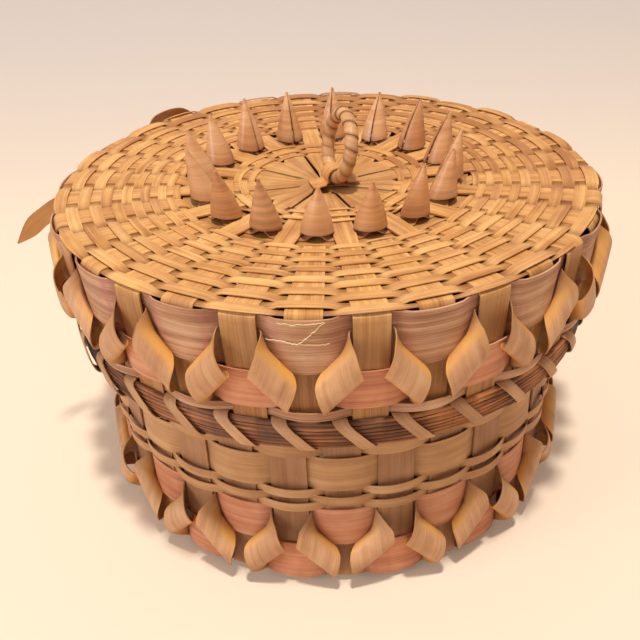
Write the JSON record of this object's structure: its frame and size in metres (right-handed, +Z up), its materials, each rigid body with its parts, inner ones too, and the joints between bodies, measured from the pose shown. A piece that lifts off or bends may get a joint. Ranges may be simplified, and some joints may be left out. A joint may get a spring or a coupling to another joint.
{
  "type": "lidded splint basket",
  "caption": "Round woven ash splint basket with an overhanging lift-off lid, curled overlay strips, a ring of rolled cones and a ring handle.",
  "frame": {"origin": "centre of the basket's foot, on the surface it stands on", "axes": "+Z up along the basket's axis, -Y the front that the picture shows"},
  "size_m": [0.2654, 0.2654, 0.1894],
  "materials": {
    "tan_splint": "satin natural ash splint",
    "pale_splint": "satin natural ash splint",
    "pink_splint": "faded pink dyed ash splint",
    "gold_splint": "satin golden ash splint",
    "dark_splint": "darkened ash hoop",
    "cone_splint": "satin reddish brown ash splint"
  },
  "bodies": {
    "basket": {"base_splint_1": "pale_splint", "base_splint_2": "pale_splint", "base_splint_3": "pale_splint", "base_splint_4": "pale_splint", "base_splint_5": "pale_splint", "base_floor_weaver_1": "pale_splint", "base_floor_weaver_2": "pale_splint", "base_stand_weaver": "pale_splint", "base_lower_weaver": "pink_splint", "base_upper_weaver": "pink_splint", "base_narrow_weaver_1": "pale_splint", "base_narrow_weaver_2": "pale_splint", "base_narrow_weaver_3": "pale_splint", "base_narrow_weaver_4": "pale_splint", "base_natural_weaver": "pale_splint", "base_hidden_weaver_1": "pale_splint", "base_hidden_weaver_2": "pale_splint", "base_outer_hoop": "dark_splint", "base_inner_hoop": "dark_splint", "base_lashing": "gold_splint", "base_curl_strip": "gold_splint"},
    "lid": {"lid_star_splint_1": "tan_splint", "lid_star_splint_2": "tan_splint", "lid_star_splint_3": "tan_splint", "lid_star_splint_4": "tan_splint", "lid_inserted_upright_01": "tan_splint", "lid_inserted_upright_02": "tan_splint", "lid_inserted_upright_03": "tan_splint", "lid_inserted_upright_04": "tan_splint", "lid_inserted_upright_05": "tan_splint", "lid_inserted_upright_06": "tan_splint", "lid_inserted_upright_07": "tan_splint", "lid_inserted_upright_08": "tan_splint", "lid_inserted_upright_09": "tan_splint", "lid_inserted_upright_10": "tan_splint", "lid_inserted_upright_11": "tan_splint", "lid_inserted_upright_12": "tan_splint", "lid_inserted_upright_13": "tan_splint", "lid_inserted_upright_14": "tan_splint", "lid_inserted_upright_15": "tan_splint", "lid_inserted_upright_16": "tan_splint", "lid_inner_weaver_1": "tan_splint", "lid_inner_weaver_2": "tan_splint", "lid_band": "tan_splint", "lid_outer_weaver_1": "tan_splint", "lid_outer_weaver_2": "tan_splint", "lid_upper_weaver": "pale_splint", "lid_lower_weaver": "pink_splint", "lid_narrow_weaver": "pale_splint", "lid_outer_hoop": "dark_splint", "lid_inner_hoop": "dark_splint", "lid_lashing": "gold_splint", "lid_curl_strip": "gold_splint", "lid_cone_strip": "cone_splint", "handle_strap": "tan_splint"},
    "ring": {"ring_handle": "cone_splint", "ring_wrapping": "cone_splint"}
  },
  "joints": [
    {"name": "lid_lift", "type": "slide", "parent": "basket", "child": "lid", "axis": [0, 0, 1], "range_m": [0, 0.1]},
    {"name": "handle_swing", "type": "hinge", "parent": "lid", "child": "ring", "pos_m": [0.0015, 0.0037, 0.15438], "axis": [-0.309, 0.9511, 0], "range_deg": [-93, 69]}
  ]
}
